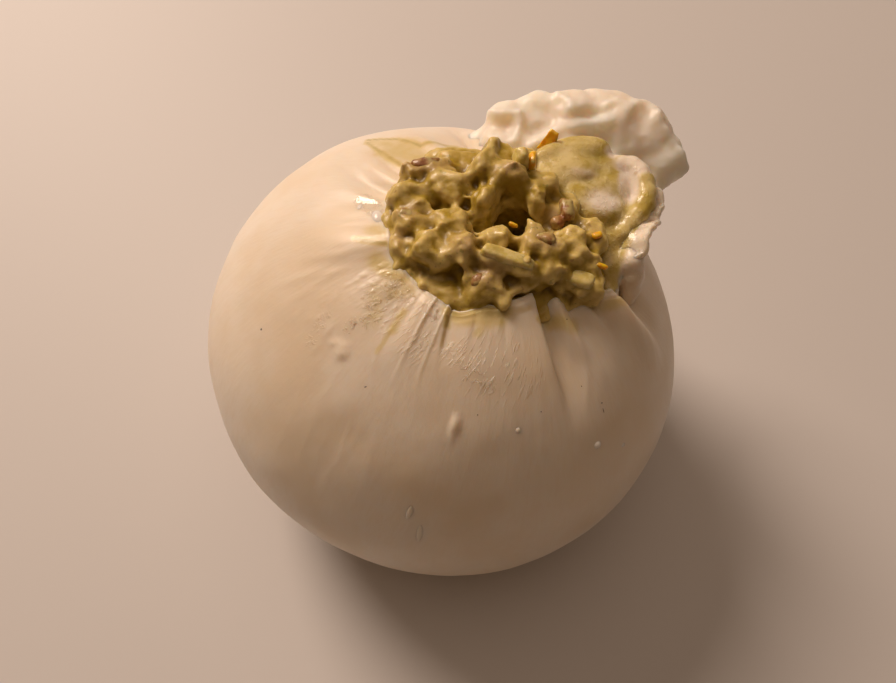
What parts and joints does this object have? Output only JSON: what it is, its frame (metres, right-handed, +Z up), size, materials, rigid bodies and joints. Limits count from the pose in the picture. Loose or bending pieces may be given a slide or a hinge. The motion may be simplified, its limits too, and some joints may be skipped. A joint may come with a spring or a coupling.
{
  "type": "burrata",
  "caption": "Ball of burrata torn open at the top: a folded pouch of stretched curd, its knot laid back, and a heap of nutty cream filling.",
  "frame": {"origin": "middle of the flat spot that the ball rests on", "axes": "+Z up; +Y towards the back, where the torn knot is folded over; +X to the right of the opening"},
  "size_m": [0.0989, 0.0974, 0.0788],
  "materials": {
    "curd": "moist, smooth stretched curd",
    "cream": "moist, lumpy pistachio cream"
  },
  "bodies": {
    "root": {"pouch": "curd", "filling": "cream"}
  },
  "joints": []
}
